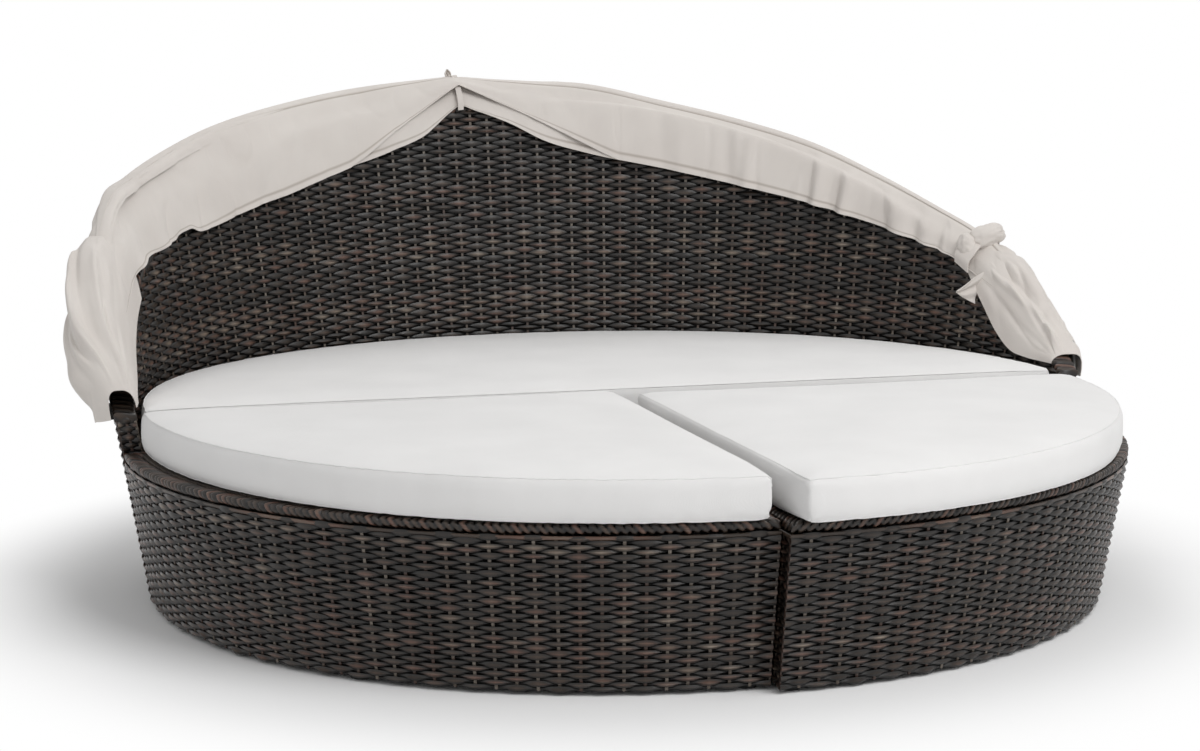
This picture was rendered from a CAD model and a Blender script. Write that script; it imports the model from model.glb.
import bpy
import math
from contextlib import contextmanager
import numpy as np
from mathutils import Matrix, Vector, noise


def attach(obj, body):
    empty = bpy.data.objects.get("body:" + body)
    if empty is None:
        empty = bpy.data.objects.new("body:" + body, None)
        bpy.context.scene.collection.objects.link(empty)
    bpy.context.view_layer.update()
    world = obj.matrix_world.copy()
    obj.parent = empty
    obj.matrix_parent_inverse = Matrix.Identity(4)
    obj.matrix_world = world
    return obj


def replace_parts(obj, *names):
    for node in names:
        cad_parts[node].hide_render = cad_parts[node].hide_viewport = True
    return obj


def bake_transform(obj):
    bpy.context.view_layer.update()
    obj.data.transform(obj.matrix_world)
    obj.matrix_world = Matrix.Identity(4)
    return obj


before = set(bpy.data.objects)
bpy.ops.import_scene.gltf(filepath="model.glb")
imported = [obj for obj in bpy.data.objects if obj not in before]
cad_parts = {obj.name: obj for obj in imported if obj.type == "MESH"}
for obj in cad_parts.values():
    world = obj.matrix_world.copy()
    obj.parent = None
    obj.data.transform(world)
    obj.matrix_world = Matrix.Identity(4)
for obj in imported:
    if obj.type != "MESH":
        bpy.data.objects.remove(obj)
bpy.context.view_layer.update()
scene = bpy.context.scene
print("frame loaded")

# The shell, in metres: its oval on the floor, the outward lean, the slanting rim and the split line.
shell = {"halfWidth": 1.0, "halfDepth": 0.933, "lean": 1 / 6, "power": 2.06, "rimFront": 0.4,
         "rimSlope": 560 / 1073, "splitY": -0.05, "wall": 0.04, "foot": 0.009, "sideFace": 0.006,
         "halfSplit": 0.002, "baseHeight": 0.3, "rightShift": (-0.0095, -0.035)}
bows = {"pivot": (0.0, 0.025, 0.394), "halfWidth": 1.0873, "halfWidthStep": 0.0043, "depth": 1.178,
        "depthStep": 0.016, "levelStep": 0.036, "middleLevel": 0.009}
rimAngle = math.atan(shell["rimSlope"])
planeNormal = np.array([0, -math.sin(rimAngle), math.cos(rimAngle)])
planeBack = np.array([0, math.cos(rimAngle), math.sin(rimAngle)])


# Small helpers
def deselectAll():
    if bpy.context.object and bpy.context.object.mode != "OBJECT":
        bpy.ops.object.mode_set(mode="OBJECT")
    bpy.ops.object.select_all(action="DESELECT")


def pick(*objs):
    deselectAll()
    for obj in objs:
        obj.select_set(True)
    bpy.context.view_layer.objects.active = objs[0]


@contextmanager
def editing(obj):
    pick(obj)
    bpy.ops.object.mode_set(mode="EDIT")
    bpy.ops.mesh.select_all(action="SELECT")
    yield
    bpy.ops.object.mode_set(mode="OBJECT")


def getPoints(obj):
    co = np.empty(len(obj.data.vertices) * 3)
    obj.data.vertices.foreach_get("co", co)
    return co.reshape(-1, 3)


def setPoints(obj, points):
    obj.data.vertices.foreach_set("co", np.asarray(points, np.float32).ravel())
    obj.data.update()


def setAttributes(obj, **fields):
    for name, values in fields.items():
        layer = obj.data.attributes.get(name) or obj.data.attributes.new(name, "FLOAT", "POINT")
        full = np.broadcast_to(np.asarray(values, np.float32), len(obj.data.vertices))
        layer.data.foreach_set("value", np.ascontiguousarray(full))


def getAttribute(obj, name):
    values = np.empty(len(obj.data.vertices), np.float32)
    obj.data.attributes[name].data.foreach_get("value", values)
    return values


def addModifier(obj, kind, **settings):
    modifier = obj.modifiers.new(kind.lower(), kind)
    for key, value in settings.items():
        setattr(modifier, key, value)
    return modifier


def applyModifiers(obj):
    pick(obj)
    for modifier in list(obj.modifiers):
        bpy.ops.object.modifier_apply(modifier=modifier.name)


def thicken(obj, thickness):
    addModifier(obj, "SOLIDIFY", thickness=thickness, offset=0)
    applyModifiers(obj)


def repeatMesh(obj, count, step, merge=0.0):
    addModifier(obj, "ARRAY", count=count, use_relative_offset=False, use_constant_offset=True,
                constant_offset_displace=step, use_merge_vertices=merge > 0, merge_threshold=merge)
    applyModifiers(obj)


def tidyMesh(obj, merge=0.0, fill=False, smooth=40):
    with editing(obj):
        if merge:
            bpy.ops.mesh.remove_doubles(threshold=merge)
        if fill:
            bpy.ops.mesh.fill_holes(sides=0)
        bpy.ops.mesh.normals_make_consistent(inside=False)
    bpy.ops.object.shade_smooth_by_angle(angle=math.radians(smooth))


def newGrid(name, across, along):
    deselectAll()
    bpy.ops.mesh.primitive_grid_add(x_subdivisions=across, y_subdivisions=along, size=1)
    obj = bpy.context.object
    obj.name = name
    co = getPoints(obj)
    return obj, co[:, 0] + 0.5, co[:, 1] + 0.5


def joinAll(name, objs):
    pick(*objs)
    bpy.ops.object.join()
    obj = bpy.context.object
    obj.name = name
    return obj


def signedPower(value, power):
    return np.sign(value) * np.abs(value) ** power


def ovalAt(angle):
    return signedPower(np.cos(angle), 2 / shell["power"]), signedPower(np.sin(angle), 2 / shell["power"])


def wallPoints(angle, inset, z):
    c, s = ovalAt(angle)
    x = (shell["halfWidth"] + z * shell["lean"] - inset) * c
    y = (shell["halfDepth"] + z * shell["lean"] - inset) * s + shell["splitY"]
    return np.stack(np.broadcast_arrays(x, y, z), axis=-1)


def rimHeights(angle):
    s = ovalAt(angle)[1]
    slope = shell["rimSlope"]
    return (shell["rimFront"] + slope * s * shell["halfDepth"]) / (1 - slope * s * shell["lean"])


def bowPoints(angle, out, level):
    share = (level - bows["middleLevel"]) / bows["levelStep"]
    share = np.clip(share, -1, 1)
    c, s = ovalAt(angle)
    width = bows["halfWidth"] + bows["halfWidthStep"] * share + out
    depth = bows["depth"] + bows["depthStep"] * share + out
    start = np.array(bows["pivot"])
    return (start + np.multiply.outer(level, planeNormal) + np.multiply.outer(depth * s, planeBack)
            + np.multiply.outer(width * c, np.array([1.0, 0, 0])))


def arcTable(pointAt, samples=1200):
    share = np.linspace(0, 1, samples)
    points = pointAt(share)
    steps = np.linalg.norm(np.diff(points, axis=0), axis=1)
    run = np.concatenate([[0], np.cumsum(steps)])
    return run[-1], lambda s: np.interp(s, run / run[-1], share)


def smoothSteps(x, table):
    xs, ys = np.array(table, float).T
    i = np.clip(np.searchsorted(xs, x) - 1, 0, len(xs) - 2)
    t = np.clip((x - xs[i]) / (xs[i + 1] - xs[i]), 0, 1)
    slopes = np.gradient(ys, xs)
    h = xs[i + 1] - xs[i]
    return (ys[i] * (1 + 2 * t) * (1 - t) ** 2 + slopes[i] * h * t * (1 - t) ** 2
            + ys[i + 1] * t * t * (3 - 2 * t) - slopes[i + 1] * h * t * t * (1 - t))


def noiseAt(points, size, seed=0.0):
    scaled = np.asarray(points) / size + seed
    return np.array([noise.noise(Vector(p)) for p in scaled])


# Materials
def linear(code):
    parts = [int(code[i:i + 2], 16) / 255 for i in (1, 3, 5)]
    return tuple(p / 12.92 if p <= 0.04045 else ((p + 0.055) / 1.055) ** 2.4 for p in parts) + (1,)


# An input is linked where its value is a socket, and else set to it.
def feed(tree, node, inputs):
    for key, value in inputs.items():
        if isinstance(value, bpy.types.NodeSocket):
            tree.links.new(value, node.inputs[key])
        else:
            node.inputs[key].default_value = value


def addNode(tree, kind, inputs=None, **settings):
    node = tree.nodes.new(kind)
    node.location = (-220 * len(tree.nodes), 0)
    for key, value in settings.items():
        setattr(node, key, value)
    feed(tree, node, inputs or {})
    return node


def compute(tree, operation, *values):
    return addNode(tree, "ShaderNodeMath", dict(enumerate(values)), operation=operation).outputs[0]


def readAttribute(tree, name):
    return addNode(tree, "ShaderNodeAttribute", attribute_name=name).outputs["Fac"]


def objectCoords(tree):
    return addNode(tree, "ShaderNodeTexCoord").outputs["Object"]


def nodeMaterial(name, roughness, inputs=None):
    material = bpy.data.materials.new(name)
    material.use_nodes = True
    tree = material.node_tree
    shader = tree.nodes["Principled BSDF"]
    feed(tree, shader, {"Roughness": roughness, **(inputs or {})})
    return material, tree, shader


def multiplyColors(tree, a, b):
    mix = addNode(tree, "ShaderNodeMix", {0: 1.0, 6: a, 7: b}, data_type="RGBA", blend_type="MULTIPLY")
    return mix.outputs[2]


def rampColors(tree, factor, stops):
    ramp = addNode(tree, "ShaderNodeValToRGB", {"Fac": factor})
    elements = ramp.color_ramp.elements
    for element, (place, code) in zip(elements, (stops[0], stops[-1])):
        element.position = place
        element.color = linear(code)
    for place, code in stops[1:-1]:
        elements.new(place).color = linear(code)
    return ramp.outputs["Color"]


def addBump(tree, shader, height, strength, distance):
    bump = addNode(tree, "ShaderNodeBump", {"Strength": strength, "Distance": distance, "Height": height})
    feed(tree, shader, {"Normal": bump.outputs["Normal"]})


# A group takes the vector and numbers with their defaults, and puts out masks.
def makeGroup(name, numbers, masks):
    group = bpy.data.node_groups.new(name, "ShaderNodeTree")
    group.interface.new_socket("Vector", in_out="INPUT", socket_type="NodeSocketVector")
    for label, value in numbers.items():
        made = group.interface.new_socket(label, in_out="INPUT", socket_type="NodeSocketFloat")
        made.default_value = value
    for label in masks:
        group.interface.new_socket(label, in_out="OUTPUT", socket_type="NodeSocketFloat")
    return group, addNode(group, "NodeGroupInput").outputs, addNode(group, "NodeGroupOutput")


def placeGroup(tree, group, numbers):
    inputs = {"Vector": objectCoords(tree), **numbers}
    return addNode(tree, "ShaderNodeGroup", inputs, node_tree=group).outputs


streakSizes = {"Mask": 1.0, "Fine": 6.0}


def streakGroup():
    group, given, end = makeGroup("strandStreaks", {"Scale": 60.0, "Stretch": 12.0}, streakSizes)
    ways = addNode(group, "ShaderNodeCombineXYZ", {0: 1, 1: 1, 2: given["Stretch"]})
    pair = {0: given["Vector"], 1: ways.outputs[0]}
    scaled = addNode(group, "ShaderNodeVectorMath", pair, operation="MULTIPLY")
    for label, factor in streakSizes.items():
        size = compute(group, "MULTIPLY", given["Scale"], factor)
        grain = addNode(group, "ShaderNodeTexNoise", {"Detail": 3, "Vector": scaled.outputs[0], "Scale": size})
        feed(group, end, {label: grain.outputs["Fac"]})
    return group


def clothGroup():
    group, given, end = makeGroup("clothWeave", {"Threads": 900.0}, ("Height", "Mask"))
    height = None
    for axis in ("X", "Y", "Z"):
        inputs = {"Distortion": 0.6, "Detail": 1, "Vector": given["Vector"], "Scale": given["Threads"]}
        wave = addNode(group, "ShaderNodeTexWave", inputs, wave_type="BANDS", bands_direction=axis)
        height = compute(group, "ADD", height, wave.outputs["Fac"]) if height else wave.outputs["Fac"]
    soft = addNode(group, "ShaderNodeTexNoise", {"Scale": 5, "Detail": 4, "Vector": given["Vector"]})
    feed(group, end, {"Height": height, "Mask": soft.outputs["Fac"]})
    return group


streaks, clothWeave = streakGroup(), clothGroup()
wickerLook = {"roughness": 0.36, "specular": 0.45, "streaks": {"Scale": 30.0, "Stretch": 26.0},
              "grain": 0.5, "bump": (0.25, 0.0006),
              "tones": [(0.0, "#1a1512"), (0.28, "#31271f"), (0.5, "#4b3d33"), (0.62, "#64463a"),
              (0.76, "#76685b"), (1.0, "#b9ad9f")],
              "depths": [(0.0, "#050505"), (0.35, "#1e1e1e"), (0.65, "#8c8c8c"), (1.0, "#ffffff")]}
fabricLook = {"roughness": 0.85, "stitch": [(0.0, "#ffffff"), (1.0, "#c4beb8")], "bump": 0.35}
metalBump = (0.1, 0.0003)
deckLook = {"roughness": 0.6, "Scale": 24, "Mortar Size": 0.012, "bump": (0.6, -0.002),
            "Color1": "#3b342f", "Color2": "#51483f", "Mortar": "#1a1614"}


def wickerMaterial():
    material, tree, shader = nodeMaterial("wovenStrand", wickerLook["roughness"],
                                          {"Specular IOR Level": wickerLook["specular"]})
    grain = placeGroup(tree, streaks, wickerLook["streaks"])
    tone = compute(tree, "MULTIPLY_ADD", grain["Mask"], wickerLook["grain"], readAttribute(tree, "tone"))
    centred = compute(tree, "SUBTRACT", tone, wickerLook["grain"] / 2)
    color = rampColors(tree, centred, wickerLook["tones"])
    shade = rampColors(tree, readAttribute(tree, "lift"), wickerLook["depths"])
    feed(tree, shader, {"Base Color": multiplyColors(tree, color, shade)})
    addBump(tree, shader, grain["Fine"], *wickerLook["bump"])
    return material


def fabricMaterial(name, low, high, threads, depth, sheen):
    material, tree, shader = nodeMaterial(name, fabricLook["roughness"], {"Sheen Weight": sheen})
    threading = placeGroup(tree, clothWeave, {"Threads": threads})
    color = rampColors(tree, threading["Mask"], [(0.3, low), (0.7, high)])
    shade = rampColors(tree, readAttribute(tree, "stitch"), fabricLook["stitch"])
    feed(tree, shader, {"Base Color": multiplyColors(tree, color, shade)})
    addBump(tree, shader, threading["Height"], fabricLook["bump"], depth)
    return material


def metalMaterial(name, low, high, roughness, metallic, grainScale):
    material, tree, shader = nodeMaterial(name, roughness, {"Metallic": metallic})
    grain = placeGroup(tree, streaks, {"Scale": grainScale, "Stretch": 1.0})
    feed(tree, shader, {"Base Color": rampColors(tree, grain["Mask"], [(0.3, low), (0.7, high)])})
    addBump(tree, shader, grain["Fine"], *metalBump)
    return material


def deckMaterial():
    material, tree, shader = nodeMaterial("deckWeave", deckLook["roughness"])
    inputs = {key: linear(deckLook[key]) for key in ("Color1", "Color2", "Mortar")}
    inputs.update({key: deckLook[key] for key in ("Scale", "Mortar Size")}, Vector=objectCoords(tree))
    bricks = addNode(tree, "ShaderNodeTexBrick", inputs)
    feed(tree, shader, {"Base Color": bricks.outputs["Color"]})
    addBump(tree, shader, bricks.outputs["Fac"], *deckLook["bump"])
    return material


wicker = wickerMaterial()
cushionCloth = fabricMaterial("cushionCloth", "#e6e5e4", "#ecebea", 650, 0.0004, 0.15)
canopyCloth = fabricMaterial("canopyCloth", "#d6cfc9", "#dfd9d3", 420, 0.0005, 0.1)
frameMetal = metalMaterial("frameCoat", "#262423", "#33302e", 0.5, 0.3, 40)
bowMetal = metalMaterial("bowTube", "#a9a9a7", "#bdbdbb", 0.32, 0.9, 60)
boltMetal = metalMaterial("boltZinc", "#8f8f8d", "#a8a8a6", 0.3, 1.0, 90)
glidePlastic = metalMaterial("glidePlastic", "#121212", "#1c1c1b", 0.6, 0.0, 70)
deckWeave = deckMaterial()


def dress(obj, material, body):
    obj.data.materials.clear()
    obj.data.materials.append(material)
    if body:
        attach(obj, body)
    return obj


print("materials made")

# Woven skins. Each kind has the stakes' gap, the rows' height, and a strand's half width where it swells
# and where it dips.
weave = {"base": (0.038, 0.0088, 0.0057, 0.0026), "back": (0.038, 0.0088, 0.0058, 0.0030),
         "inner": (0.040, 0.0098, 0.0063, 0.0032), "arm": (0.019, 0.0088, 0.0060, 0.0036),
         "swing": 0.0032, "crown": 0.0026, "thick": 0.0011, "backing": 0.0048,
         "stakeWidth": 0.0066, "stakeThick": 0.0030, "grow": (0.78, 1.2), "slip": 0.0012,
         "grid": (8, 2), "backingGrid": (80, 4), "stakeTones": (0.55, 0.95), "stakeLift": 0.72,
         "tone": {"least": 0.10, "row": 0.40, "band": 0.30, "strand": 0.30, "drift": 0.08, "most": 0.76}}
panel = {"stand": 0.0068, "faceWidth": 0.036, "faceTop": 0.388}


def flatWeave(length, height, seed, kind):
    gap, row, lens, dip = weave[kind]
    repeats, pairs = max(1, round(length / (2 * gap))), max(1, round(height / (2 * row)))
    strands = []
    for k in (0, 1):
        strand, s, t = newGrid("strand", *weave["grid"])
        u, side = s * 2 * gap, t * 2 - 1
        rise = np.cos(math.pi * (u / gap + k))
        half = dip + (lens - dip) * ((1 + rise) / 2) ** 1.3
        setPoints(strand, np.c_[u, (k + 0.5) * row + side * half,
                                weave["swing"] * rise + weave["crown"] * (1 - side ** 2)])
        setAttributes(strand, second=k, side=np.abs(side))
        strands.append(strand)
    cloth = joinAll("weave", strands)
    repeatMesh(cloth, repeats, (2 * gap, 0, 0), 0.0001)
    rowPoints = len(cloth.data.vertices)
    repeatMesh(cloth, pairs, (0, 2 * row, 0))
    # Each strand top has its own height, place and tone.
    co = getPoints(cloth)
    second, side = getAttribute(cloth, "second"), getAttribute(cloth, "side")
    rowIndex = (np.arange(len(co)) // rowPoints) * 2 + second.round().astype(int)
    lensIndex = np.floor((co[:, 0] / gap - second) / 2 + 0.5).astype(int) + 1
    rng = np.random.default_rng(seed)
    shape = (2 * pairs, repeats + 3)
    bulge = (1 + np.cos(math.pi * (co[:, 0] / gap + second))) / 2
    centre = (rowIndex + 0.5) * row
    grow = 1 + (rng.uniform(*weave["grow"], shape)[rowIndex, lensIndex] - 1) * bulge
    slip = rng.uniform(-weave["slip"], weave["slip"], shape)[rowIndex, lensIndex] * bulge
    co[:, 1] = centre + (co[:, 1] - centre) * grow + slip
    setPoints(cloth, co)
    rowTone, band = rng.uniform(0, 1, 2 * pairs), rng.uniform(0, 1, 2 * pairs // 4 + 2)
    share = weave["tone"]
    tone = (share["least"] + share["row"] * rowTone[rowIndex] + share["band"] * band[rowIndex // 4]
            + share["strand"] * rng.uniform(-0.5, 0.5, shape)[rowIndex, lensIndex]
            + share["drift"] * np.sin(co[:, 0] * 3.1 + rowIndex * 2.4))
    tone = np.clip(tone, 0, share["most"])
    setAttributes(cloth, tone=tone, lift=bulge ** 0.7 * (1 - 0.5 * side ** 1.5))
    thicken(cloth, weave["thick"])

    deselectAll()
    bpy.ops.mesh.primitive_cylinder_add(vertices=6, radius=0.5, depth=1)
    stake = bpy.context.object
    co = getPoints(stake)
    tall = pairs * 2 * row
    setPoints(stake, np.c_[co[:, 0] * weave["stakeWidth"], (co[:, 2] + 0.5) * tall,
                           -co[:, 1] * weave["stakeThick"]])
    stakePoints = len(co)
    repeatMesh(stake, 2 * repeats + 1, (gap, 0, 0))
    which = np.arange(len(stake.data.vertices)) // stakePoints
    tone = rng.uniform(*weave["stakeTones"], 2 * repeats + 1)[which]
    setAttributes(stake, tone=tone, lift=weave["stakeLift"])
    skin = joinAll("weave", [cloth, stake])
    points = getPoints(skin)
    points[:, 0] /= repeats * 2 * gap
    points[:, 1] /= tall
    return skin, points


# A skin's place: share along the wall, share up the wall, and how far it stands out.
def weaveSkin(name, length, foot, top, seed, place, cut=None, kind="base"):
    skin, points = flatWeave(length, top - foot, seed, kind)
    setPoints(skin, place(points[:, 0], foot + points[:, 1] * (top - foot), points[:, 2]))
    # Behind the strands lies the dark inner face that keeps the weave from being seen through.
    backing, s, t = newGrid("backing", *weave["backingGrid"])
    setPoints(backing, place(s, foot + t * (top - foot), 0 * s - weave["backing"]))
    setAttributes(backing, tone=0, lift=0)
    thicken(backing, weave["thick"])
    skin = joinAll(name, [skin, backing])
    if cut:
        with editing(skin):
            bpy.ops.mesh.bisect(plane_co=cut[0], plane_no=cut[1], clear_outer=True, use_fill=False)
            bpy.ops.mesh.select_all(action="SELECT")
            bpy.ops.mesh.fill_holes(sides=12)
    tidyMesh(skin, smooth=50)
    return skin


def wallPlace(fromAngle, toAngle, inset, outward, atHeight):
    angleAt = lambda s: fromAngle + (toAngle - fromAngle) * s
    length, shareAt = arcTable(lambda s: wallPoints(angleAt(s), inset, atHeight))
    return length, lambda s, z, d: wallPoints(angleAt(shareAt(s)), inset - outward * d, z)


def moved(place, shift, mirror):
    def placed(s, z, d):
        points = place(s, z, d)
        if mirror:
            points = points * np.array([-1, 1, 1])
        return points + np.array([shift[0], shift[1], 0])
    return placed


# The back's outer wall in two halves, the inner wall, and the planes that cut them under the rim.
armStart = math.asin(0.0085 / shell["halfDepth"])
rimTop, skinDepth, seatTop = 0.985, 0.0028, 0.3225
cutPoint = (0, shell["splitY"], shell["rimFront"] - 0.013)
outerCut, innerCut = (cutPoint, (0, -shell["rimSlope"], 1)), (cutPoint, (0, -0.5408, 1))
for name, start, end, seed in (("outerWeaveRight", armStart, math.pi / 2, 11),
                               ("outerWeaveLeft", math.pi / 2, math.pi - armStart, 12)):
    length, place = wallPlace(start, end, skinDepth, 1, 0.4)
    skin = weaveSkin(name, length, shell["foot"], rimTop, seed, place, outerCut, "back")
    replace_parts(dress(skin, wicker, "sofa_back"), "back_outer_wicker")
length, place = wallPlace(armStart, math.pi - armStart, shell["wall"] - skinDepth, -1, 0.6)
skin = weaveSkin("innerWeave", length, seatTop, rimTop, 13, place, innerCut, "inner")
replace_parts(dress(skin, wicker, "sofa_back"), "back_inner_wicker")


def frontPanelPlace(s, z, d):
    x = (s * 2 - 1) * (shell["halfWidth"] + z * shell["lean"] - 0.003)
    return np.stack([x, shell["splitY"] + 0.0072 - d, z], axis=-1)


def armFacePlace(sign):
    def placed(s, z, d):
        x = sign * (shell["halfWidth"] + z * shell["lean"] - 0.002 - s * panel["faceWidth"])
        return np.stack([x, shell["splitY"] + 0.006 - d * 0.8, z], axis=-1)
    return placed


panels = [weaveSkin("backFrontWeave", 2.03, shell["foot"], 0.32, 14, frontPanelPlace)]
for sign in (-1, 1):
    panels.append(weaveSkin("armFace", panel["faceWidth"], seatTop, panel["faceTop"], 16 + sign,
                            armFacePlace(sign), None, "arm"))
skin = joinAll("backFrontWeave", panels)
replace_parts(dress(skin, wicker, "sofa_back"), "back_front_wicker")
print("back half woven")


def rearPanelPlace(s, z, d):
    reach = shell["halfWidth"] + z * shell["lean"] - 0.012 - shell["sideFace"]
    x = -shell["sideFace"] - 0.004 - s * reach
    return np.stack([x, shell["splitY"] - shell["halfSplit"] - panel["stand"] + d, z], axis=-1)


def sidePanelPlace(s, z, d):
    reach = shell["halfDepth"] + z * shell["lean"] - 0.016
    y = shell["splitY"] - 0.008 - s * reach
    return np.stack([-shell["sideFace"] - panel["stand"] + d, y, z], axis=-1)


quarterFrom = math.pi + math.asin(shell["halfSplit"] / shell["halfDepth"])
quarterTo = 1.5 * math.pi - math.asin(shell["sideFace"] / shell["halfWidth"])
footstools = {"left": ("footstool_left", (0, 0), False, 20),
              "right": ("footstool_right", shell["rightShift"], True, 30)}
for side, (body, shift, mirror, seed) in footstools.items():
    length, place = wallPlace(quarterFrom, quarterTo, skinDepth, 1, 0.15)
    for part, run, placing, more in (("curved", length, place, 0), ("rear", 1.0, rearPanelPlace, 1),
                                     ("side", 0.93, sidePanelPlace, 2)):
        skin = weaveSkin(side + part.capitalize() + "Weave", run, shell["foot"], shell["baseHeight"],
                         seed + more, moved(placing, shift, mirror))
        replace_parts(dress(skin, wicker, body), f"front_{side}_{part}_wicker")
print("footstools woven")

# Wrapped rim and borders
wrap = {"pitch": 0.0150, "rib": 0.0046, "skew": 1.6, "round": 20, "perTurn": 8, "proud": 0.001,
        "tones": (0.05, 0.65), "least": 0.1}
# Their sections: middle, half size and squareness, inwards from the wall's outer face and upwards.
sections = {"rim": ((0.02, 0.0235, 0.55), (-0.0108, 0.0112, 0.6)),
            "border": ((0.0172, 0.0168, 0.7), (0.0112, 0.0105, 0.7)),
            "binding": ((0.0012, 0.0022, 1), (-0.0035, 0.0036, 1))}


# A tube through closed sections, ribbed by the strand that is wound round it.
def woundTube(name, length, pointAt, closed, seed):
    turns = round(length / wrap["pitch"])
    obj, s, t = newGrid(name, turns * wrap["perTurn"], wrap["round"])
    phase = s * turns + wrap["skew"] * np.abs(2 * ((t - 0.125) % 1) - 1)
    swell = np.abs(np.sin(math.pi * phase)) ** 0.6
    rng = np.random.default_rng(seed)
    which = np.floor(phase).astype(int)
    proud = rng.uniform(-wrap["proud"], wrap["proud"], turns + 4)[which] * swell
    setPoints(obj, pointAt(s, t * 2 * math.pi, wrap["rib"] * (swell - 1) + proud))
    setAttributes(obj, tone=rng.uniform(*wrap["tones"], turns + 4)[which],
                  lift=wrap["least"] + (1 - wrap["least"]) * swell)
    tidyMesh(obj, merge=0.00002, fill=not closed, smooth=60)
    return obj


def sectionAt(kind, turn, grow):
    across, upward = sections[kind]
    return (across[0] - (across[1] + grow) * signedPower(np.cos(turn), across[2]),
            upward[0] + (upward[1] + grow) * signedPower(np.sin(turn), upward[2]))


rimFrom = math.asin(0.003 / shell["halfDepth"])
rimAngleAt = lambda s: rimFrom + (math.pi - 2 * rimFrom) * s
rimMiddle = sections["rim"][0][0]
rimLength, rimShare = arcTable(lambda s: wallPoints(rimAngleAt(s), rimMiddle, rimHeights(rimAngleAt(s))))


def rimPoint(s, turn, grow):
    angle = rimAngleAt(rimShare(s))
    inset, rise = sectionAt("rim", turn, grow)
    return wallPoints(angle, inset, rimHeights(angle) + rise)


rimWrap = woundTube("rimWrap", rimLength, rimPoint, False, 41)
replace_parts(dress(rimWrap, wicker, "sofa_back"), "back_rim_wrap")


# Round a footstool: along the curve, then the side and the rear straight, at an inset and a height.
def quarterPath(s, inset, z):
    near, beside = shell["halfSplit"] + inset, shell["sideFace"] + inset
    halfWidth = shell["halfWidth"] + z * shell["lean"] - inset
    halfDepth = shell["halfDepth"] + z * shell["lean"] - inset
    power = shell["power"] / 2
    start = np.arcsin((near / halfDepth) ** power)
    end = np.arccos((beside / halfWidth) ** power)
    marks = (0.455, 0.72)
    curve = np.clip(s / marks[0], 0, 1)
    c, sn = ovalAt(start + (end - start) * curve)
    x, y = -halfWidth * c, -halfDepth * sn
    side = np.clip((s - marks[0]) / (marks[1] - marks[0]), 0, 1)
    y = np.where(s > marks[0], y + (-near - y) * side, y)
    x = np.where(s > marks[0], -beside, x)
    rear = np.clip((s - marks[1]) / (1 - marks[1]), 0, 1)
    cornerX = -halfWidth * ovalAt(start)[0]
    x = np.where(s > marks[1], -beside + (cornerX + beside) * rear, x)
    return np.stack([x, y + shell["splitY"], np.broadcast_to(z, x.shape)], axis=-1)


def borderPlace(kind):
    def placed(s, turn, grow):
        inset, rise = sectionAt(kind, turn, grow)
        return quarterPath(s, inset, shell["baseHeight"] + rise)
    return placed


for side, (body, shift, mirror, seed) in footstools.items():
    place = moved(borderPlace("border"), shift, mirror)
    border = woundTube(side + "Border", 3.45, place, True, seed + 5)
    binding, s, turn = newGrid("binding", 420, 8)
    setPoints(binding, moved(borderPlace("binding"), shift, mirror)(s, turn * 2 * math.pi, 0))
    setAttributes(binding, tone=0.5 + 0.2 * np.sin(s * 40), lift=0.9)
    tidyMesh(binding, merge=0.00002)
    border = joinAll(side + "Border", [border, binding])
    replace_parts(dress(border, wicker, body), f"front_{side}_border")
print("rim and borders wound")

# Cushions: half width and depth of the oval, side and rear faces, shift from the base's axes, right or left,
# and how far the side and the curve are let out.
cushionPlans = {"back": (1.0117, 0.9447, None, 0.008, (0, 0), 1, 0, 0),
                "left": (1.017, 1.005, 0.024, 0.006, (0, -0.004), 1, 0.003, 0.004),
                "right": (1.017, 1.005, 0.024, 0.006, (-0.0095, -0.049), -1, 0.012, 0.006)}
cushionMaking = {"voxel": 0.009, "shrink": 0.003, "pressure": 4.0, "frames": 20, "cap": 0.007,
                 "sideways": 0.2, "floor": 0.3223}
cushionEdge = {"low": 0.3223, "high": 0.4083, "soft": 0.020, "crisp": 0.009, "reach": 0.06, "seam": 0.0013,
               "topFrom": 0.7, "footTo": 0.16, "sideReach": 0.15, "curvePower": 8}


# Draws the rounded top and bottom edges out to a crisper radius.
def crispEdges(points, plan):
    halfWidth, halfDepth, sideFace, rearFace, shift, mirror, sideOut, curveOut = plan
    edge = cushionEdge
    local = (points - (shift[0], shift[1] + shell["splitY"], 0)) * (mirror, 1, 1)
    share = np.clip((local[:, 2] - edge["low"]) / (edge["high"] - edge["low"]), 0, 1)
    weight = np.clip(np.maximum((share - edge["topFrom"]) / (1 - edge["topFrom"]),
                                (edge["footTo"] - share) / edge["footTo"]), 0, 1)
    drawn = ([-1, 0, edge["soft"], edge["reach"], 2], [-1, 0, edge["crisp"], edge["reach"], 2])

    def tighter(inside):
        return inside + weight * (np.interp(inside, *drawn) - inside)

    if sideFace:
        inside = tighter(-sideFace - local[:, 0])
        local[:, 0] = -sideFace - inside + sideOut * np.clip(1 - inside / edge["sideReach"], 0, 1)
    sign = 1 if sideFace is None else -1
    local[:, 1] = sign * (rearFace + tighter(sign * local[:, 1] - rearFace))
    power = shell["power"]
    shares = np.abs(local[:, :2]) / (halfWidth, halfDepth)
    ratio = np.sum(shares ** power, axis=1) ** (1 / power)
    local[:, :2] *= ((1 - tighter(1 - ratio)) / ratio + curveOut * ratio ** edge["curvePower"])[:, None]
    return local * (mirror, 1, 1) + (shift[0], shift[1] + shell["splitY"], 0)


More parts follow.
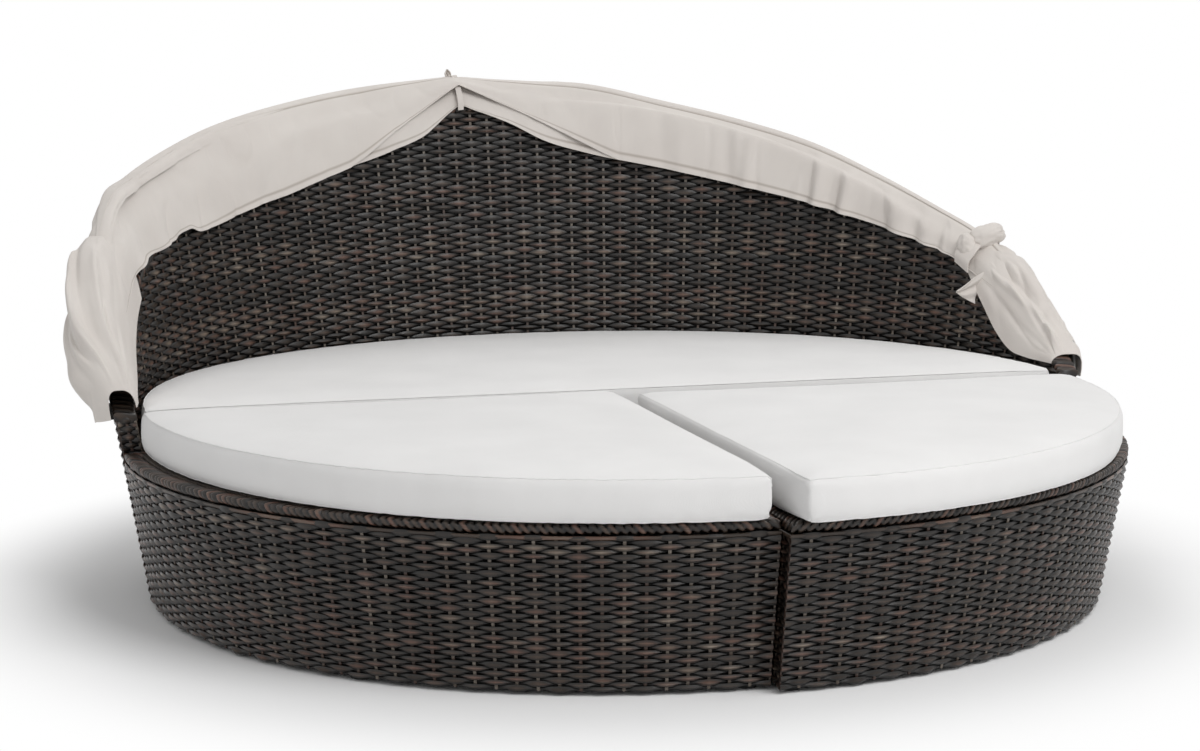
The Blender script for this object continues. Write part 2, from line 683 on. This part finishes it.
# A closed seam round a cushion at one height, laid on its surface.
def makeSeam(cushion, plan, height):
    halfWidth, halfDepth, sideFace, rearFace, shift, mirror = plan[:6]
    turn = np.linspace(0, 2 * math.pi, 720, endpoint=False)
    c, s = ovalAt(turn)
    x = np.minimum(halfWidth * c, -sideFace if sideFace else halfWidth)
    y = np.minimum(halfDepth * s, -rearFace) if sideFace else np.maximum(halfDepth * s, rearFace)
    ring = np.stack([x * mirror + shift[0], y + shift[1] + shell["splitY"], 0 * x + height], axis=-1)
    keep = np.concatenate([[True], np.linalg.norm(np.diff(ring, axis=0), axis=1) > 0.0005])
    ring = ring[keep]
    mesh = bpy.data.meshes.new("seam")
    mesh.from_pydata(ring.tolist(), [(i, (i + 1) % len(ring)) for i in range(len(ring))], [])
    seam = bpy.data.objects.new("seam", mesh)
    scene.collection.objects.link(seam)
    addModifier(seam, "SHRINKWRAP", target=cushion, wrap_method="NEAREST_SURFACEPOINT")
    applyModifiers(seam)
    bpy.ops.object.convert(target="CURVE")
    seam.data.bevel_depth, seam.data.bevel_resolution = cushionEdge["seam"], 1
    bpy.ops.object.convert(target="MESH")
    return seam


def makeCushion(name, node, body, plan):
    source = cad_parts[node]
    cushion = source.copy()
    cushion.data = source.data.copy()
    for key in [k for k in cushion.keys() if k.startswith("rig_")]:
        del cushion[key]
    cushion.parent = None
    scene.collection.objects.link(cushion)
    cushion.name = name
    cushion.hide_render = cushion.hide_viewport = False
    tidyMesh(cushion, merge=0.0001)
    addModifier(cushion, "REMESH", mode="VOXEL", voxel_size=cushionMaking["voxel"])
    applyModifiers(cushion)
    setPoints(cushion, crispEdges(getPoints(cushion), plan))
    drawn = getPoints(cushion)
    with editing(cushion):
        bpy.ops.transform.shrink_fatten(value=-cushionMaking["shrink"])
    before = getPoints(cushion)
    cloth = cushion.modifiers.new("cloth", "CLOTH")
    cloth.settings.quality = 4
    cloth.settings.use_pressure = True
    cloth.settings.uniform_pressure_force = cushionMaking["pressure"]
    cloth.settings.effector_weights.gravity = 0
    cloth.collision_settings.use_collision = False
    cloth.point_cache.frame_start, cloth.point_cache.frame_end = 1, cushionMaking["frames"]
    for step in range(1, cushionMaking["frames"] + 1):
        scene.frame_set(step)
    applyModifiers(cushion)
    scene.frame_set(1)
    after = getPoints(cushion)
    move = after - before
    size = np.linalg.norm(move, axis=1, keepdims=True)
    after = before + move * np.minimum(1, cushionMaking["cap"] / np.maximum(size, 1e-9))
    after[:, :2] = drawn[:, :2] + cushionMaking["sideways"] * (after - before)[:, :2]
    after[:, 2] = np.maximum(after[:, 2], cushionMaking["floor"])
    setPoints(cushion, after)
    tidyMesh(cushion, smooth=60)
    rings = [makeSeam(cushion, plan, cushionEdge[key]) for key in ("low", "high")]
    cushion = joinAll(name, [cushion] + rings)
    bpy.ops.object.shade_smooth_by_angle(angle=math.radians(60))
    dress(cushion, cushionCloth, body)
    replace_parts(cushion, node)
    print("cushion made:", name)


for side, node, body in (("back", "back_cushion", "sofa_back"),
                         ("left", "front_left_cushion", "footstool_left"),
                         ("right", "front_right_cushion", "footstool_right")):
    makeCushion(side + "Cushion", node, body, cushionPlans[side])

# Canopy: levels of the crest above the bows' resting plane and of the hem above the rim, by degrees from the
# right arm to the left, and folds: where each starts and ends at the hem, its width and depth.
canopy = {
    "from": 13.5, "to": 167, "roofFrom": 8, "roofTo": 172, "thick": 0.0016, "crestOut": 0.020, "pinch": 95.5,
    "pinchHem": 0.050, "pinchReach": (16.0, 20.0), "seamAt": 0.3, "hemLine": 0.93, "roofNear": 0.0168,
    "roofPouch": 0.05, "roofEnds": 18, "roofGrid": (300, 64), "rows": 56,
    "crest": [(6, 0.012), (10, 0.018), (13.5, 0.030), (17, 0.056), (20, 0.068), (25, 0.060), (30, 0.050),
        (40, 0.046), (50, 0.054), (60, 0.054), (70, 0.060), (80, 0.080), (86, 0.079), (93, 0.088),
        (95.5, 0.094), (100, 0.093), (110, 0.096), (120, 0.105), (130, 0.123), (140, 0.144), (150, 0.178),
        (158, 0.215), (162, 0.195), (165, 0.15), (168, 0.09), (174, 0.03)],
    "hem": [(4, 0.016), (12, 0.004), (20, -0.014), (25, -0.018), (30, -0.036), (40, -0.072), (50, -0.100),
        (60, -0.120), (70, -0.125), (80, -0.114), (85, -0.092), (90, -0.044), (93.5, -0.016),
        (95.5, -0.003), (97, -0.020), (100, -0.062), (105, -0.090), (110, -0.103), (120, -0.114),
        (130, -0.097), (136, -0.079), (139.3, -0.060), (140.3, -0.046), (145, -0.026), (150, -0.003),
        (155, 0.028), (163, 0.03), (175, 0.016)],
    "folds": [(60, 59, 1.3, 0.006), (57, 58, 0.9, 0.005), (47.5, 48, 1.1, 0.012), (42.4, 44, 1.2, 0.016),
        (38, 35, 2.2, 0.014), (31, 30.3, 1.5, 0.012), (27, 27, 1.0, 0.008), (69, 67, 1.6, 0.004),
        (149, 141.5, 1.5, 0.004), (155, 148, 2.0, 0.006), (163, 156, 2.2, 0.006), (134, 122, 2.4, 0.006),
        (112, 108, 2.4, 0.003), (78, 76, 2.0, 0.003)]}


def splinePoints(keys, t):
    place = t * (len(keys) - 1)
    i = np.clip(np.floor(place).astype(int), 0, len(keys) - 2)
    f = (place - i)[:, None]
    stack, cols = np.stack(keys), np.arange(len(t))
    p0, p1 = stack[np.maximum(i - 1, 0), cols], stack[i, cols]
    p2, p3 = stack[i + 1, cols], stack[np.minimum(i + 2, len(keys) - 1), cols]
    return 0.5 * (2 * p1 + (p2 - p0) * f + (2 * p0 - 5 * p1 + 4 * p2 - p3) * f ** 2
                  + (3 * p1 - p0 - 3 * p2 + p3) * f ** 3)


# Soft swells with thin creases along the lines where a second noise changes sign.
def wrinkles(coords, swell, crease, seed, width=0.1):
    waves = noiseAt(coords, 1.0, seed)
    lines = noiseAt(coords * 1.4, 1.0, seed + 7.3)
    fine = noiseAt(coords * 3.1, 1.0, seed + 3.1)
    return swell * (waves + 0.3 * fine) - crease * np.exp(-(lines / width) ** 2)


def finishSheet(obj, body, node):
    thicken(obj, canopy["thick"])
    tidyMesh(obj, smooth=70)
    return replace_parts(dress(obj, canopyCloth, body), node)


def blendFolding(obj, startLevel, endLevel):
    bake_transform(obj)


def makeRoof():
    obj, s, t = newGrid("canopyRoof", *canopy["roofGrid"])
    degrees = canopy["roofFrom"] + (canopy["roofTo"] - canopy["roofFrom"]) * s
    angle = np.radians(degrees)
    crest = smoothSteps(degrees, canopy["crest"])
    fullness = 0.8 + 0.14 * np.sin(angle * 9) + 0.1 * np.sin(angle * 23 + 1)
    ends = np.minimum(degrees - canopy["roofFrom"], canopy["roofTo"] - degrees) / canopy["roofEnds"]
    ends = np.clip(ends, 0, 1) ** 0.8
    near = canopy["roofNear"]
    tip = near + canopy["roofPouch"] * fullness * (0.04 + 0.96 * ends)
    rows = [(-0.006, crest - 0.014), (0.004, crest - 0.002), (canopy["crestOut"], crest - 0.001),
            (0.036, crest - 0.014), (tip - 0.006, np.maximum(crest - 0.04, 0.03)), (tip, 0.027), (near, 0.015),
            (near, 0.009), (near, 0.003), (tip, -0.007), (tip - 0.004, -0.015), (near, -0.025), (0.012, -0.041)]
    keys = [bowPoints(angle, out, level) for out, level in rows]
    points = splinePoints(keys, t)
    outward = bowPoints(angle, 1, crest) - bowPoints(angle, 0, crest)
    puffs = wrinkles(np.c_[degrees / 7, t * 5, 0 * t], 0.008, 0.004, 3.0)
    points += outward * np.maximum(puffs, -0.002)[:, None]
    setPoints(obj, points)
    finishSheet(obj, None, "canopy_cloth")
    blendFolding(obj, -0.018, 0.036)
    return obj


# The cloth that hangs inside the back: a rolled casing, its seam, and folds from the seam to the hem.
def makeValance(name, fromDegrees, toDegrees, hemAt, nearer, columns, seed):
    obj, s, t = newGrid(name, columns, canopy["rows"])
    degrees = fromDegrees + (toDegrees - fromDegrees) * s
    angle = np.radians(degrees)
    crest = smoothSteps(degrees, canopy["crest"])
    hem = hemAt(degrees)
    rim = rimHeights(angle)
    tuck = np.clip(np.minimum((degrees - canopy["from"]) / 8, (canopy["to"] - degrees) / 10), 0, 1)
    top = bowPoints(angle, canopy["crestOut"] - 0.002, crest + 3 * min(nearer, 0))
    rise = np.maximum(top[:, 2] - rim, hem + 0.012)
    short = np.clip((rise - hem) / 0.15, 0.15, 1)
    lean = np.maximum(hem + 0.35 * (rise - hem), 0.004 * short)
    keys = [top, wallPoints(angle, 0.006, rim + rise - 0.001 + nearer),
            wallPoints(angle, 0.024, rim + rise - 0.016 * short + nearer),
            wallPoints(angle, 0.036 + nearer, rim + np.maximum(rise - 0.045 * short, 0.016)),
            wallPoints(angle, 0.044 + 0.006 * tuck + nearer,
                       rim + np.maximum(lean, 0.35 * hem + 0.65 * rise - 0.03 * short)),
            wallPoints(angle, 0.0455 + 0.0085 * tuck + nearer, rim + 0.6 * hem + 0.4 * lean),
            wallPoints(angle, 0.0465 + 0.0095 * tuck + nearer, rim + hem)]
    points = splinePoints(keys, t)
    inward = wallPoints(angle, 1, rim) - wallPoints(angle, 0, rim)
    inward /= np.linalg.norm(inward, axis=1, keepdims=True)
    seam, hemLine = t - canopy["seamAt"], t - canopy["hemLine"]
    hang = np.clip(seam / 0.25, 0, 1)
    push = wrinkles(np.c_[degrees / 6, t * 1.2, 0 * t], 0.0045, 0.002, seed) * hang
    push *= np.where(degrees > 118, 1.6, 1)
    for seamAt, hemEnd, width, depth in canopy["folds"]:
        away = (degrees - seamAt - (hemEnd - seamAt) * t) / width
        ridge = np.exp(-away ** 2) - 0.7 * np.exp(-(away - 1.3) ** 2 * 1.6)
        push += depth * ridge * (0.25 + 0.75 * t) * hang
    push -= 0.006 * np.exp(-(seam / 0.016) ** 2)
    push += canopy["thick"] * (hemLine > 0)
    pinch = np.exp(-((degrees - canopy["pinch"]) / 2.2) ** 2)
    push = push * (1 - pinch) - 0.006 * pinch * np.exp(-((t - 0.5) / 0.4) ** 2)
    points += inward * (np.maximum(push, -0.004) * tuck)[:, None]
    setPoints(obj, points)
    setAttributes(obj, stitch=np.exp(-(seam / 0.012) ** 2) + 0.8 * np.exp(-(hemLine / 0.01) ** 2))
    return finishSheet(obj, "canopy_front", "canopy_flap")


def frontHem(degrees):
    base = smoothSteps(degrees, canopy["hem"])
    left = degrees > canopy["pinch"]
    reach = np.where(left, *canopy["pinchReach"])
    ends = smoothSteps(canopy["pinch"] + np.where(left, reach, -reach), canopy["hem"])
    share = 1 - np.abs(degrees - canopy["pinch"]) / reach
    return np.where(share > 0, ends + (canopy["pinchHem"] - ends) * np.maximum(share, 0) ** 1.15, base)


roof = makeRoof()
valance = makeValance("canopyValance", canopy["from"], canopy["to"], frontHem, 0.0, 560, 5)
underValance = makeValance("canopyUnderValance", 74, 116, lambda degrees: smoothSteps(degrees, canopy["hem"]),
                           -0.004, 160, 9)
print("canopy sheets made")


# A thin strip along a path: the pinch's strap and the tie's band.
def makeRibbon(name, path, widthWay, width, thick):
    keys = [np.array(p, float) for p in path]
    obj, s, t = newGrid(name, 14 * (len(keys) - 1), 4)
    centre = splinePoints([np.tile(k, (len(s), 1)) for k in keys], s)
    way = np.array(widthWay, float) / np.linalg.norm(widthWay)
    setPoints(obj, centre + np.outer((t - 0.5) * width, way))
    thicken(obj, thick)
    tidyMesh(obj, smooth=70)
    return dress(obj, canopyCloth, "canopy_front")


# A leaf of cloth that stands out from its root, ridged along its middle.
def makeEar(name, root, way, side, length, width, curl, ridge=0.5, pointed=False):
    root, way, side = (np.array(v, float) for v in (root, way, side))
    way, side = way / np.linalg.norm(way), side / np.linalg.norm(side)
    lift = np.cross(way, side)
    obj, s, t = newGrid(name, 18, 12)
    across = t * 2 - 1
    rounded = (0.16 + 0.84 * np.sin(s * math.pi * 0.86 + 0.12) ** 0.8) * (1 - 0.75 * s ** 6)
    wide = width * (0.06 + 0.94 * (1 - s) ** 0.9 if pointed else rounded)
    bend = curl * np.sin(s * 2.2) + width * ridge * (1 - np.abs(across)) * (1 - 0.3 * s)
    ripple = 0.003 * np.sin(across * 7 + s * 5)
    setPoints(obj, root + np.outer(s * length, way) + np.outer(across * wide / 2, side)
              + np.outer(bend + ripple, lift))
    thicken(obj, canopy["thick"])
    tidyMesh(obj, smooth=70)
    return obj


# A lump of bunched cloth, with soft folds and a slant.
def makeLump(place, size, slant, seed):
    deselectAll()
    bpy.ops.mesh.primitive_uv_sphere_add(segments=40, ring_count=26, radius=1)
    lump = bpy.context.object
    ball = getPoints(lump)
    folds = wrinkles(ball * (0.9, 0.9, 1.3), 0.12, 0.10, seed, 0.16)
    ball = ball * np.array(size) * (1 + folds)[:, None]
    ball[:, 2] += slant * ball[:, 0]
    setPoints(lump, ball + place)
    return lump


def atBow(degrees, out, level):
    return bowPoints(math.radians(degrees), out, level)


def atWall(degrees, inset, rise):
    angle = math.radians(degrees)
    return wallPoints(angle, inset, rimHeights(angle) + rise)


# The tie at the right arm: a band round the gathered cloth, a knot of two soft lumps and a pointed end.
bandPath = [atBow(20.6, 0.034, 0.058), atBow(20.4, 0.030, 0.076), atBow(20.6, 0.014, 0.088),
            atBow(21, -0.004, 0.080), atWall(22, 0.055, 0.05), atWall(22.4, 0.078, 0.014),
            atWall(22.6, 0.074, -0.014)]
along = atWall(28, 0.04, 0) - atWall(17, 0.04, 0)
band = makeRibbon("tieBand", bandPath, along, 0.05, 0.003)
knot = joinAll("tieKnot", [makeLump((1.018, 0.342, 0.670), (0.048, 0.036, 0.031), 0.16, 1.0),
                           makeLump(atWall(22.8, 0.060, 0.030), (0.024, 0.028, 0.034), -0.1, 4.0),
                           makeEar("tieEnd", atWall(19.8, 0.052, -0.034), (-1, -0.15, -0.16),
                                   (0.28, -0.1, 1), 0.060, 0.080, 0.006, 0.10, True)])
tidyMesh(knot, smooth=70)
dress(knot, canopyCloth, "canopy_front")
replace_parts(knot, "right_tie")

# The pinch at the top: a strap that pulls the hem up, and a small tip of cloth above the crest.
strapPath = [atBow(95.5, 0.03, 0.085), atBow(95.5, 0.018, 0.098), atBow(95.5, 0.0, 0.092),
             atWall(95.5, 0.045, 0.045), atWall(95.5, 0.062, 0.012), atWall(95.5, 0.06, -0.012)]
strap = makeRibbon("pinchStrap", strapPath, (1, 0, 0.1), 0.014, 0.0025)
tip = makeEar("pinchTip", atBow(96, 0.02, 0.086), (-0.15, 0, 1), (1, 0.1, 0), 0.026, 0.016, 0.004)
dress(tip, canopyCloth, "canopy_front")
print("ties made")

# Cloth ends over the arms. Each station: distance back, outer and inner foot, top, and the reach outside and
# inside the wall's outer face. Each fold: its place round the section at the front and at the back, its width
# and depth. The blend runs between two levels above the pivot's plane.
sleeves = {
    "left": {
        "sign": -1, "node": "left_sleeve", "seed": 21, "blend": (0.075, 0.20), "waist": 0.74,
        "stations": [(-0.002, 0.388, 0.412, 0.448, 0.010, 0.0456), (0.02, 0.382, 0.412, 0.502, 0.034, 0.049),
            (0.06, 0.377, 0.412, 0.570, 0.074, 0.053), (0.12, 0.392, 0.413, 0.638, 0.078, 0.053),
            (0.20, 0.432, 0.440, 0.692, 0.066, 0.053), (0.28, 0.475, 0.500, 0.726, 0.050, 0.051),
            (0.34, 0.510, 0.545, 0.728, 0.040, 0.050), (0.40, 0.545, 0.585, 0.700, 0.034, 0.050)],
        "folds": [(0.56, 0.36, 0.040, -0.022), (0.47, 0.30, 0.045, 0.020), (0.66, 0.50, 0.045, 0.014),
            (0.38, 0.18, 0.040, -0.022), (0.80, 0.74, 0.040, -0.010), (0.16, 0.34, 0.04, -0.014)]},
    "right": {
        "sign": 1, "node": "right_sleeve", "seed": 33, "blend": (0.025, 0.13), "waist": 0.86,
        "stations": [(0.045, 0.380, 0.412, 0.432, 0.034, 0.0456), (0.09, 0.378, 0.412, 0.470, 0.041, 0.048),
            (0.14, 0.390, 0.414, 0.508, 0.042, 0.054), (0.20, 0.408, 0.424, 0.550, 0.046, 0.058),
            (0.26, 0.440, 0.462, 0.588, 0.050, 0.060), (0.32, 0.492, 0.520, 0.620, 0.058, 0.060),
            (0.36, 0.530, 0.560, 0.638, 0.062, 0.058), (0.39, 0.560, 0.590, 0.650, 0.060, 0.054)],
        "folds": [(0.50, 0.72, 0.035, -0.020), (0.58, 0.82, 0.040, 0.016), (0.42, 0.60, 0.045, 0.014),
            (0.84, 0.90, 0.035, -0.012), (0.74, 0.60, 0.030, -0.012), (0.30, 0.40, 0.05, -0.010)]}}
sleeveMaking = {"arch": 0.75, "square": 0.65, "footReach": 0.040, "footTuck": 0.8, "swell": 0.016,
                "crease": 0.012, "creaseWidth": 0.13, "waist": 0.012, "waistWidth": 0.04}


def makeSleeve(side):
    plan = sleeves[side]
    obj, s, t = newGrid(side + "Sleeve", 130, 110)
    marks = np.linspace(0, 1, len(plan["stations"]))
    columns = [smoothSteps(s, list(zip(marks, column))) for column in zip(*plan["stations"])]
    y, footOut, footIn, top, outer, inner = columns
    c, arch = np.cos(t * math.pi), np.sin(t * math.pi)
    foot = footOut + (footIn - footOut) * t
    z = foot + (top - foot) * arch ** sleeveMaking["arch"]
    grow, power = z * shell["lean"], shell["power"]
    ratio = np.maximum(y, 0.001) / (shell["halfDepth"] + grow)
    wallX = (shell["halfWidth"] + grow) * (1 - ratio ** power) ** (1 / power)
    tucked = outer * (1 - sleeveMaking["footTuck"] * (1 - arch) ** 8)
    outer = np.where(t < 0.5, np.maximum(tucked, np.minimum(outer, sleeveMaking["footReach"])), outer)
    offset = (outer - inner) / 2 + (outer + inner) / 2 * signedPower(c, sleeveMaking["square"])
    swell = wrinkles(np.c_[t * 3.8 + 0.9 * s, s * 2.0, 0 * s], sleeveMaking["swell"], sleeveMaking["crease"],
                     plan["seed"], sleeveMaking["creaseWidth"])
    along = np.sin(math.pi * (0.1 + 0.9 * s ** 0.7))
    for front, back, width, depth in plan["folds"]:
        swell += depth * np.exp(-((t - front - (back - front) * s) / width) ** 2) * along
    waistAt = plan["waist"] + 0.14 * (t - 0.5)
    swell -= sleeveMaking["waist"] * np.exp(-((s - waistAt) / sleeveMaking["waistWidth"]) ** 2)
    swell *= np.clip(arch * 1.6, 0, 1) * np.clip(s * 8, 0, 1) * np.clip((1.15 - s) / 0.5, 0.3, 1)
    swell *= np.where(swell < 0, np.clip((outer + inner - 0.08) / 0.07, 0, 1), 1)
    middle = np.stack([wallX - 0.01, y, foot + 0.3 * (top - foot)], axis=-1)
    points = np.stack([wallX + offset, y, z], axis=-1)
    away = points - middle
    away /= np.linalg.norm(away, axis=1, keepdims=True)
    points += away * swell[:, None]
    points *= np.array([plan["sign"], 1, 1])
    setPoints(obj, points + (0, shell["splitY"], 0))
    finishSheet(obj, None, plan["node"])
    blendFolding(obj, *plan["blend"])
    return obj


leftSleeve, rightSleeve = makeSleeve("left"), makeSleeve("right")
print("sleeves made")

# CAD nodes that show
looks = {"frame": frameMetal, "bow": bowMetal, "bolt": boltMetal, "glide": glidePlastic, "deck": deckWeave}
for nodeName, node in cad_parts.items():
    for word in ("deck", "glide", "frame", "boss", "bolt", "clip", "bow"):
        if word in nodeName:
            material = looks[{"boss": "frame", "clip": "bow"}.get(word, word)]
            node.data.materials.clear()
            node.data.materials.append(material)
            break

# Stage, light and camera
studio = {"floorSize": 30, "floorColor": 0.96, "floorRoughness": 0.9, "world": 0.52, "fadeFrom": 1.1,
          "fadeTo": 1.55, "lampTarget": (0, 0, 0.4),
          "lamps": {"keyLamp": ((1.3, -3.0, 3.8), 2.6, 105), "sideLamp": ((-3.4, -1.6, 2.6), 2.2, 5),
                    "backLamp": ((0.6, 2.8, 3.6), 2.0, 34)}}
view = {"azimuth": -16.214, "elevation": 8.515, "distance": 5.189, "lens": 73.51, "sensor": 36,
        "target": (-0.0536, -0.0544, 0.4368)}


def seenDirectly(tree):
    path = addNode(tree, "ShaderNodeLightPath").outputs
    seen = path["Is Camera Ray"]
    for other in ("Is Glossy Ray", "Is Transmission Ray"):
        seen = compute(tree, "MAXIMUM", seen, path[other])
    return seen


# The floor shades like paper near the daybed and fades to plain white for the camera.
def makeFloor():
    deselectAll()
    bpy.ops.mesh.primitive_plane_add(size=studio["floorSize"])
    floor = bpy.context.object
    floor.name = "floor"
    paper = {"Base Color": (studio["floorColor"],) * 3 + (1,)}
    material, tree, shader = nodeMaterial("floorPaper", studio["floorRoughness"], paper)
    away = addNode(tree, "ShaderNodeVectorMath", {0: objectCoords(tree)}, operation="LENGTH")
    limits = {"From Min": studio["fadeFrom"], "From Max": studio["fadeTo"], "Value": away.outputs["Value"]}
    fade = addNode(tree, "ShaderNodeMapRange", limits, interpolation_type="SMOOTHSTEP")
    share = compute(tree, "MULTIPLY", fade.outputs["Result"], seenDirectly(tree))
    glow = addNode(tree, "ShaderNodeEmission")
    mix = addNode(tree, "ShaderNodeMixShader", {0: share, 1: shader.outputs[0], 2: glow.outputs[0]})
    feed(tree, tree.nodes["Material Output"], {"Surface": mix.outputs[0]})
    floor.data.materials.append(material)


def makeWorld():
    world = bpy.data.worlds.new("studio")
    scene.world = world
    world.use_nodes = True
    tree = world.node_tree
    strength = compute(tree, "MULTIPLY_ADD", seenDirectly(tree), 1 - studio["world"], studio["world"])
    feed(tree, tree.nodes["Background"], {"Color": (1, 1, 1, 1), "Strength": strength})


def aim(name, data, place, target):
    holder = bpy.data.objects.new(name, data)
    scene.collection.objects.link(holder)
    holder.location = place
    holder.rotation_euler = (Vector(target) - Vector(place)).to_track_quat("-Z", "Y").to_euler()
    return holder


def makeLamps():
    for name, (place, size, power) in studio["lamps"].items():
        lamp = bpy.data.lights.new(name, "AREA")
        lamp.energy, lamp.size = power, size
        aim(name, lamp, place, studio["lampTarget"])


def makeCamera():
    turn, rise = math.radians(view["azimuth"]), math.radians(view["elevation"])
    away = Vector((math.sin(turn) * math.cos(rise), -math.cos(turn) * math.cos(rise), math.sin(rise)))
    camera = bpy.data.cameras.new("camera")
    camera.sensor_width, camera.lens = view["sensor"], view["lens"]
    scene.camera = aim("camera", camera, Vector(view["target"]) + away * view["distance"], view["target"])


makeFloor()
makeWorld()
makeLamps()
makeCamera()
scene.view_settings.view_transform = "Standard"
print("stage set")

deselectAll()
